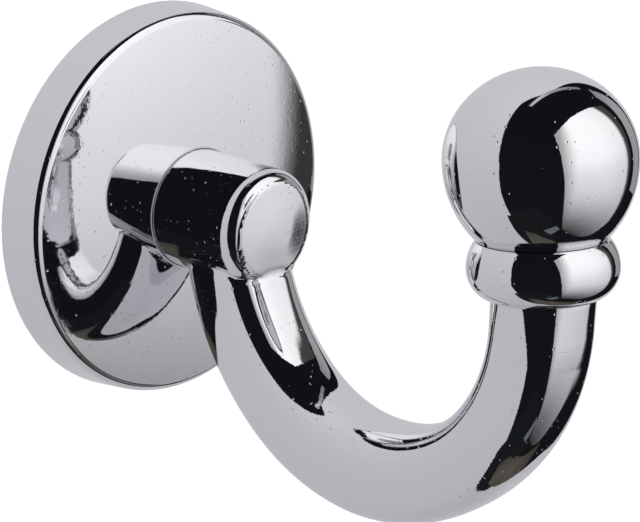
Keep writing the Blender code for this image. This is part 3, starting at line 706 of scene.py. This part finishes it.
# %% The grub screw
GRUB_LENGTH = 5.24 * MM
GRUB_PITCH = 0.5 * MM
grub_place = wall_frame(up=-21.02 * MM, height=GRUB_HEIGHT) @ Matrix.Rotation(math.radians(90), 4, "X")
grub_head = [(0, GRUB_LENGTH), (1.25 * MM, GRUB_LENGTH), (1.4 * MM, GRUB_LENGTH - 0.12 * MM)]
grub_shank = [(1.25 * MM, 1.4 * MM, GRUB_LENGTH - 0.2 * MM), (1.25 * MM, 1.5 * MM, GRUB_LENGTH - 0.5 * MM),
              *in_mm((1.25, 1.5, 1.1), (0.4, 0.4, 0))]
grub = threaded("grub_screw_threaded", grub_head, grub_shank, GRUB_PITCH, 40, grub_place)
HEX_RADIUS = 0.866 * MM
socket_outline = [(0, GRUB_LENGTH + 1 * MM), (HEX_RADIUS, GRUB_LENGTH + 1 * MM)]
socket_outline += [(HEX_RADIUS, GRUB_LENGTH - 1.8 * MM), (0, GRUB_LENGTH - 2.2 * MM)]
carve(grub, turned("hex_socket", socket_outline, 6, grub_place))
crisp(grub, THREAD_CORNER_ANGLE)
print("grub screw:", round(1000 * GRUB_LENGTH, 2), "mm long;", len(grub.data.polygons), "faces")

# %% [markdown]
# ## Finishes
#
# Each finish is a node tree that starts from what the real surface is. Colours are written as sRGB hex, as
# a maker would read them off a sample, and turned to linear light in one place. Patterns are sized in
# millimetres: the texture coordinates are metres here, so a feature of s millimetres needs a scale of
# 1000/s.

# %% Helpers for node trees
def hex_colour(code):
    """sRGB hex to linear RGBA."""
    parts = [int(code[i:i + 2], 16) / 255 for i in (1, 3, 5)]
    return tuple(p / 12.92 if p <= 0.04045 else ((p + 0.055) / 1.055)**2.4 for p in parts) + (1.0,)


def per_mm(size):
    """Texture scale for features of that many millimetres."""
    return 1000.0 / size


def feed(tree, node, inputs):
    """Links an input to a socket, or to a node's first output; anything else is set on the input itself."""
    for key, value in inputs.items():
        if isinstance(value, bpy.types.Node):
            value = value.outputs[0]
        if isinstance(value, bpy.types.NodeSocket):
            tree.links.new(value, node.inputs[key])
        else:
            node.inputs[key].default_value = value


def add(tree, kind, inputs=None, **settings):
    """Adds a node with its settings and its inputs."""
    made = tree.nodes.new(kind)
    for key, value in settings.items():
        setattr(made, key, value)
    feed(tree, made, inputs or {})
    return made


def finish(name):
    """An empty material with its shader and output, and the coordinates that its patterns share."""
    made = bpy.data.materials.new(name)
    made.use_nodes = True
    tree = made.node_tree
    tree.nodes.clear()
    shader = add(tree, "ShaderNodeBsdfPrincipled")
    add(tree, "ShaderNodeOutputMaterial", {"Surface": shader})
    place = add(tree, "ShaderNodeTexCoord").outputs["Object"]
    return made, tree, shader, place


print("mid grey #808080 is", round(hex_colour("#808080")[0], 3), "in linear light")

# %% [markdown]
# Chrome plate on a polished zinc casting is a mirror with small faults. Under the plate the casting keeps a
# slight waviness of a few millimetres from the polishing wheel, which makes the edges of reflections
# wander. In patches it also keeps an orange peel of half a millimetre, which frays them. Here and there a
# pore in the casting shows as a pit a few tenths of a millimetre wide; on the ball, where the metal is
# thickest, they crowd together. A trace of haze softens the deepest blacks. All of it is far too weak to
# see as relief: only the mirror gives it away.

# %% Polished chrome plate
PORE_CROWD = Vector((-7.0, -71.3, 17.7)) * MM
PORE_CHANCE = 1.22
chrome, tree, shader, place = finish("polished chrome plate")
wave = add(tree, "ShaderNodeTexNoise", {"Vector": place, "Scale": per_mm(7.0), "Detail": 1.0})
ripple = add(tree, "ShaderNodeBump", {"Height": wave, "Distance": 0.02 * MM})
peel = add(tree, "ShaderNodeTexNoise", {"Vector": place, "Scale": per_mm(0.6), "Detail": 2.0})
patch = add(tree, "ShaderNodeTexNoise", {"Vector": place, "Scale": per_mm(11.0), "Detail": 2.0})
rough_spot = add(tree, "ShaderNodeMapRange",
                 {"Value": patch, "From Min": 0.46, "From Max": 0.64, "To Min": 0.06})
peel_height = add(tree, "ShaderNodeMath", {0: peel, 1: rough_spot}, operation="MULTIPLY")
peeled = add(tree, "ShaderNodeBump",
             {"Height": peel_height, "Distance": 0.006 * MM, "Normal": ripple})
pore = add(tree, "ShaderNodeTexVoronoi", {"Vector": place, "Scale": per_mm(0.8)})
pore_edge = add(tree, "ShaderNodeMapRange",
                {"Value": pore, "From Min": 0.07, "From Max": 0.21}, interpolation_type="SMOOTHSTEP")
few = add(tree, "ShaderNodeSeparateColor", {"Color": pore.outputs["Color"]})
from_crowd = add(tree, "ShaderNodeVectorMath", {0: place, 1: PORE_CROWD}, operation="DISTANCE")
crowd = add(tree, "ShaderNodeMapRange",
            {"Value": from_crowd.outputs["Value"], "From Min": 2.5 * MM, "From Max": 7.5 * MM,
             "To Min": 0.55, "To Max": 0.0})
chance = add(tree, "ShaderNodeMath", {0: few.outputs["Red"], 1: patch}, operation="ADD")
chance = add(tree, "ShaderNodeMath", {0: chance, 1: crowd}, operation="ADD")
clean = add(tree, "ShaderNodeMath", {0: chance, 1: PORE_CHANCE}, operation="LESS_THAN")
pit = add(tree, "ShaderNodeMath", {0: pore_edge, 1: clean}, operation="MAXIMUM")
pitted = add(tree, "ShaderNodeBump",
             {"Height": pit, "Strength": 0.6, "Distance": 0.03 * MM, "Normal": peeled})
haze = add(tree, "ShaderNodeTexNoise", {"Vector": place, "Scale": per_mm(2.5), "Detail": 3.0})
haze_level = add(tree, "ShaderNodeMapRange", {"Value": haze, "To Min": 0.012, "To Max": 0.05})
feed(tree, shader, {"Base Color": hex_colour("#E7E7EA"), "Metallic": 1.0,
                    "Normal": pitted, "Roughness": haze_level})
print(chrome.name, "has", len(tree.nodes), "nodes")

# %% [markdown]
# The end of the stem faces the room and is polished last, by hand, with a few strokes in one direction.
# They are drawn as a noise that is stretched along the stroke. The strokes belong to that face alone, so
# two soft-edged limits, by height off the wall and by height on the stem, keep them there.

# %% The same chrome with the polishing strokes on the end of the stem
STROKE_TURN = math.radians(38)
struck_chrome = chrome.copy()
struck_chrome.name = "polished chrome plate, struck end"
tree = struck_chrome.node_tree
shader = tree.nodes["Principled BSDF"]
place = tree.nodes["Texture Coordinate"].outputs["Object"]
stretched = add(tree, "ShaderNodeMapping",
                {"Vector": place, "Rotation": (0, STROKE_TURN, 0),
                 "Scale": (per_mm(7.0), per_mm(7.0), per_mm(0.4))})
stroke = add(tree, "ShaderNodeTexNoise", {"Vector": stretched, "Scale": 1.0, "Detail": 3.0})
spot = add(tree, "ShaderNodeSeparateXYZ", {0: place})
on_end = add(tree, "ShaderNodeMapRange",
             {"Value": spot.outputs["Y"], "From Min": -22.7 * MM, "From Max": -23.1 * MM})
on_stem = add(tree, "ShaderNodeMapRange",
              {"Value": spot.outputs["Z"], "From Min": -6.5 * MM, "From Max": -5.0 * MM})
struck = add(tree, "ShaderNodeMath", {0: on_end, 1: on_stem}, operation="MULTIPLY")
stroke = add(tree, "ShaderNodeMath", {0: stroke, 1: struck}, operation="MULTIPLY")
stroke_bump = add(tree, "ShaderNodeBump",
                  {"Height": stroke, "Distance": 0.012 * MM,
                   "Normal": shader.inputs["Normal"].links[0].from_socket})
feed(tree, shader, {"Normal": stroke_bump})
print(struck_chrome.name, "has", len(tree.nodes), "nodes")

# %% [markdown]
# The hidden surfaces are metal too, but nobody polishes them. What they have in common is a tone that
# drifts in clouds, a fine grain over it, and a dullness that follows one of the two. Inside the rose the
# plate lies on the casting as it left the die: bright but satin, with soft flow marks. The bracket is a
# bare zinc die casting, which goes a dull blue grey within weeks, cloudy where the metal met in the die.
# The screws are steel with a thin zinc plate, a little yellower and much brighter. The grub screw is
# blackened steel, which keeps a faint oily sheen on its edges.

# %% Plate as cast, bare zinc, plated steel and blackened steel
def dull_metal(name, cloud, tones, grain, relief, dullness, worn_by_grain=False):
    """Cloud and grain as (size in mm, detail, distortion), relief as (strength, depth in mm)."""
    made, tree, shader, place = finish(name)
    clouds, grains = [
        add(tree, "ShaderNodeTexNoise",
            {"Vector": place, "Scale": per_mm(size), "Detail": detail, "Distortion": distortion})
        for size, detail, distortion in (cloud, grain)]
    tone = add(tree, "ShaderNodeMix",
               {"Factor": clouds, 6: hex_colour(tones[0]), 7: hex_colour(tones[1])}, data_type="RGBA")
    bump = add(tree, "ShaderNodeBump", {"Height": grains, "Strength": relief[0], "Distance": relief[1] * MM})
    dull = add(tree, "ShaderNodeMapRange",
               {"Value": grains if worn_by_grain else clouds, "To Min": dullness[0], "To Max": dullness[1]})
    feed(tree, shader, {"Base Color": tone.outputs[2], "Metallic": 1.0, "Normal": bump, "Roughness": dull})
    return made


cast_chrome = dull_metal("chrome plate, as cast", (9.0, 4.0, 1.2), ("#C3C4C8", "#DADADD"),
                         (0.5, 3.0, 0.0), (0.5, 0.05), (0.2, 0.38))
zinc = dull_metal("bare zinc die casting", (6.0, 5.0, 0.8), ("#A9ACB0", "#CDCED0"),
                  (0.4, 3.0, 0.0), (0.6, 0.06), (0.34, 0.52))
plated = dull_metal("zinc plated steel", (3.0, 2.0, 0.0), ("#C9CBC9", "#D6D0C0"),
                    (0.3, 2.0, 0.0), (0.4, 0.02), (0.22, 0.34), worn_by_grain=True)
blackened = dull_metal("black oxide on steel", (0.6, 3.0, 0.0), ("#323236", "#46464A"),
                       (0.6, 3.0, 0.0), (0.4, 0.02), (0.32, 0.48))
print("finishes:", ", ".join(m.name for m in (chrome, struck_chrome, cast_chrome, zinc, plated, blackened)))

# %% [markdown]
# ## Finish every piece and hang it on its body
#
# The visible pieces stand for their solids and ride with them: everything belongs to the hook, apart from
# the grub screw, which can be backed out. The rose gets both chromes. Its hidden side is told apart by
# place: a face that lies deeper than the polished skin belongs to the hollow.

# %% Finishes and bodies
WALL_CLEARANCE = 0.1 * MM


def dress(piece, body, slot, solids, *finishes):
    piece.data.materials.clear()
    for made in finishes:
        piece.data.materials.append(made)
    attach(piece, body)
    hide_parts(*solids)


dress(rose, "hook", "chrome", ["rose"], chrome, cast_chrome)
band_lean = (ROSE_RADIUS - ROSE_FRONT_RADIUS) / ROSE_BAND_HEIGHT
for face in rose.data.polygons:
    across = math.hypot(face.center.x, face.center.z)
    height = -face.center.y
    on_band = across > ROSE_RADIUS - ROSE_WALL / 2 - height * band_lean
    outside = on_band or height > dome_height(across, ROSE_WALL / 2)
    face.material_index = 0 if outside and height > WALL_CLEARANCE else 1
dress(casting, "hook", "chrome", ["hook_body"], struck_chrome)
dress(collar, "hook", "chrome", ["collar"], chrome)
dress(ball, "hook", "chrome", ["ball_knob"], chrome)
dress(bracket, "hook", "bracket_metal", ["wall_bracket"], zinc)
dress(wood_screws[0], "hook", "plated_steel", ["wall_screw_upper"], plated)
dress(wood_screws[1], "hook", "plated_steel", ["wall_screw_lower"], plated)
dress(grub, "grub", "black_steel", ["grub_screw"], blackened)
for node in ("knob_stud", "hook_screw"):
    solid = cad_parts[node]
    solid.data.materials.clear()
    solid.data.materials.append(plated)

# %% [markdown]
# ## The studio
#
# Chrome shows the room, so the room is built. In the ball one can read the studio of the photograph: a dark
# room, a sheet of pale paper that sweeps up from under the hook and behind it, a big soft box in front and
# to the right, and the dark gap between them in which the camera stands. Each sheet here is given by the
# directions in which the ball sees its corners, with the distance of each, so that its edges fall where the
# ball shows them. Most stand about a third of a metre away, as round any small object that is photographed;
# the paper comes closer on the left, and the soft box leans back on the right to more than a metre.

# %% Helpers for the studio
STUDIO_MIDDLE = Vector((0, -0.0632, 0.0173))
CLOSE, NEAR, FAR = 0.16, 0.34, 1.2


def towards(azimuth, elevation):
    """The way the ball looks at that azimuth (0 = straight out from the wall, + to the right)."""
    a, e = math.radians(azimuth), math.radians(elevation)
    return Vector((math.sin(a) * math.cos(e), -math.cos(a) * math.cos(e), math.sin(e)))


def hang(name, points, look):
    """One flat face of light or paper, which the camera itself doesn't see."""
    made = mesh_object(name, points, [tuple(range(len(points)))])
    made.data.materials.append(look)
    made.visible_camera = False


def sheet(name, corners, look):
    """A sheet with straight edges between corners of (azimuth, elevation), or of these and a distance."""
    hang(name, [STUDIO_MIDDLE + towards(a, e) * (far[0] if far else NEAR) for a, e, *far in corners], look)


def strip(name, first, last, width, look):
    """A narrow sheet from one direction to another, width in degrees."""
    start, end = towards(*first), towards(*last)
    aside = start.cross(end).normalized() * math.tan(math.radians(width / 2))
    ways = (start - aside, end - aside, end + aside, start + aside)
    hang(name, [STUDIO_MIDDLE + way * NEAR for way in ways], look)


print("the camera stands in the direction", [round(c, 2) for c in looking_back])

# %% [markdown]
# No lamp shines here. Every sheet gives its own light, whose colour runs with the height at which the ball
# sees it and may fade towards the sides. A mirror returns it almost unchanged, so the level wanted in the
# ball is written down as it is.

# %% Light that changes with the direction
def glow(name, stops, strength=1.0, soft_sides=None):
    """A light that changes with the height at which the ball sees it: stops of (elevation, colour).

    Soft sides, as (dark azimuth, bright azimuth, share that is left on the dark side), dim it sideways.
    """
    made, tree, shader, place = finish(name)
    tree.nodes.remove(shader)
    way = add(tree, "ShaderNodeVectorMath", {0: place, 1: STUDIO_MIDDLE}, operation="SUBTRACT")
    way = add(tree, "ShaderNodeVectorMath", {0: way}, operation="NORMALIZE")
    way = add(tree, "ShaderNodeSeparateXYZ", {0: way})
    height = add(tree, "ShaderNodeMapRange", {"Value": way.outputs["Z"], "From Min": -1.0, "From Max": 1.0})
    shade = add(tree, "ShaderNodeValToRGB", {"Fac": height})
    marks = shade.color_ramp.elements
    marks.remove(marks[1])
    for i, (elevation, code) in enumerate(stops):
        mark = marks[0] if i == 0 else marks.new(1.0)
        mark.position = (1 + math.sin(math.radians(elevation))) / 2
        mark.color = hex_colour(code)
    light = add(tree, "ShaderNodeEmission", {"Color": shade, "Strength": strength})
    feed(tree, tree.nodes["Material Output"], {"Surface": light})
    if soft_sides:
        forward = add(tree, "ShaderNodeMath", {0: way.outputs["Y"], 1: -1.0}, operation="MULTIPLY")
        azimuth = add(tree, "ShaderNodeMath", {0: way.outputs["X"], 1: forward}, operation="ARCTAN2")
        level = strength
        for dark, bright, share in soft_sides:
            fade = add(tree, "ShaderNodeMapRange",
                       {"Value": azimuth, "From Min": math.radians(dark),
                        "From Max": math.radians(bright), "To Min": share}, interpolation_type="SMOOTHSTEP")
            level = add(tree, "ShaderNodeMath", {0: fade, 1: level}, operation="MULTIPLY")
        feed(tree, light, {"Strength": level})
    return made


print("on a light's ramp 30 degrees lies at", round(0.5 + towards(0, 30).z / 2, 2))

# %% [markdown]
# The dark room closes everything in, so that no ray from the chrome ever finds an empty world. In it hangs
# the paper. It is one long sweep in the photograph; here it is four flat sheets that meet edge to edge, two
# to the left of the hook and two to the right, each pair split at the height of the ball. It is a shade
# darker low down, where less light reaches it.

# %% The dark room and the paper
ROOM_RADIUS = 2.6
bows = [math.pi * i / 24 for i in range(1, 24)]
room_outline = [(0, ROOM_RADIUS)] + [(ROOM_RADIUS * math.sin(a), ROOM_RADIUS * math.cos(a)) for a in bows]
room = turned("dark_room", room_outline + [(0, -ROOM_RADIUS)], 48, Matrix.Translation(STUDIO_MIDDLE))
room.data.materials.append(glow("dark room", [(-90, "#16171A"), (0, "#14161A"), (90, "#121419")]))
room.visible_camera = False

paper = glow("pale paper", [(-90, "#BDBCC0"), (-60, "#C4C3C8"), (0, "#CFCED3"), (40, "#D4D4D8"),
                            (75, "#DADADE")])
sheet("paper_left", [(-98, -24, CLOSE), (-100, 0, CLOSE), (-107, 30, CLOSE), (-118, 45), (-150, 70),
                     (180, 77), (180, 0)], paper)
sheet("paper_left_low", [(180, 0), (180, -60), (0, -90), (0, -78), (-37, -77), (-64, -71), (-80, -66),
                         (-92, -54), (-98, -40), (-98, -24, CLOSE)], paper)
sheet("paper_right", [(180, 0), (180, 77), (142, 78), (110, 66), (107, 38), (103, 10), (99, -20)], paper)
sheet("paper_right_low", [(180, 0), (99, -20), (93, -45), (85, -56), (74, -63), (50, -73), (0, -78),
                          (0, -90), (180, -60)], paper)

# %% [markdown]
# The soft box is the window that shines in the ball and the arm. It is brightest high up and falls off
# towards its foot, and it fades at its sides, as cloth in front of a lamp does. A grey card stands to its
# right. Under the hook lies a brown table, half of it in shade, with a clip on it. A narrow slit of light
# over the back of the paper draws the fine line along the top of the ball and the arm.

# %% The soft box and the small things round it
soft_light = glow("soft box", [(-60, "#1A1A1B"), (-56, "#4A4A4B"), (-48, "#707072"), (-40, "#959597"),
                               (-32, "#B1B1B4"), (-24, "#C8C8CB"), (-16, "#D6D6D9"), (-8, "#DEDEE1"),
                               (0, "#E9E9EB"), (10, "#F8F8F9"), (30, "#FFFFFF")],
                  strength=1.2, soft_sides=[(-34, -8, 0.36), (70, 20, 0.86), (66.5, 60, 0.06)])
sheet("soft_box", [(-38, 46), (0, 61), (40, 59, FAR), (76, 37, FAR), (67, 0, FAR), (67, -30, FAR),
                   (50, -52, FAR), (30, -58, FAR), (-8, -57, FAR), (-18, -45), (-23, -30), (-26.5, -9),
                   (-29, 5), (-32, 25)], soft_light)

side_grey = glow("side card", [(-20, "#98989A"), (20, "#A8A8AA"), (40, "#8C8C8E")])
sheet("side_card", [(86, 38), (95, 38), (98, 10), (96, -18), (77, -18), (77, 10)], side_grey)


def lay(name, height, look, *spots):
    """A flat face on the table: its height in metres, its corners as (x, y) in millimetres."""
    hang(name, [(x, y, height) for x, y in in_mm(*spots)], look)


TABLE_LEVEL = -0.1
brown = glow("brown table", [(-90, "#4C4840"), (-76, "#57534B"), (-62, "#403D37")])
lay("table_edge", TABLE_LEVEL, brown, (-60, -80), (-25, -76), (60, -76), (60, -108), (-10, -106), (-45, -96))
black = glow("table in shade", [(-90, "#1A1C1E"), (0, "#1A1C1E")])
lay("table_shade", TABLE_LEVEL - 2 * MM, black,
    (-138, -46), (-100, -52), (-55, -61), (-25, -68), (0, -74), (0, -104), (-60, -160), (-138, -160))
slit_light = glow("slit", [(40, "#707072"), (75, "#A0A0A2"), (85, "#D0D0D3")])
strip("slit_back", (-125, 76), (96, 46), 3.0, slit_light)
clip_grey = glow("clip", [(-90, "#646A6C"), (0, "#646A6C")])
lay("clip", TABLE_LEVEL + 6 * MM, clip_grey,
    (-42.5, -113.5), (-34.2, -142.3), (-20.3, -139.2), (-22.8, -115.5))

# %% [markdown]
# The photograph has a white ground. Here floor and world are white only for the rays that the camera sees,
# straight or by way of a mirror; for the light on the hook they stay as pale as a real floor and a plain
# sky. The chrome doesn't see the floor at all: the table and the paper stand in its place.

# %% The floor and the world
def seen_rays(tree):
    """1 for the rays that come from the camera, or from it by way of a mirror or glass."""
    ray = add(tree, "ShaderNodeLightPath")
    seen = add(tree, "ShaderNodeMath", {0: ray.outputs["Is Camera Ray"], 1: ray.outputs["Is Glossy Ray"]},
               operation="MAXIMUM")
    seen = add(tree, "ShaderNodeMath", {0: seen, 1: ray.outputs["Is Transmission Ray"]},
               operation="MAXIMUM")
    return seen


FLOOR_LEVEL = -0.4
floor_corners = [(x, y, FLOOR_LEVEL) for x, y in ((-3, -3), (3, -3), (3, 3), (-3, 3))]
floor = mesh_object("floor", floor_corners, [(0, 1, 2, 3)])
pale, tree, shader, place = finish("pale floor")
feed(tree, shader, {"Base Color": hex_colour("#F4F4F4"), "Roughness": 0.6,
                    "Emission Color": hex_colour("#FFFFFF"), "Emission Strength": seen_rays(tree)})
floor.data.materials.append(pale)
floor.visible_glossy = False

world = bpy.data.worlds.new("studio")
bpy.context.scene.world = world
world.use_nodes = True
tree = world.node_tree
tree.nodes.clear()
dim = add(tree, "ShaderNodeBackground", {"Color": hex_colour("#C6C6CA")})
white = add(tree, "ShaderNodeBackground", {"Color": (1, 1, 1, 1)})
both = add(tree, "ShaderNodeMixShader", {0: seen_rays(tree), 1: dim, 2: white})
add(tree, "ShaderNodeOutputWorld", {"Surface": both})
bpy.context.scene.view_settings.view_transform = "Standard"
print("world:", world.name, "; the camera sees the dark room:", room.visible_camera)
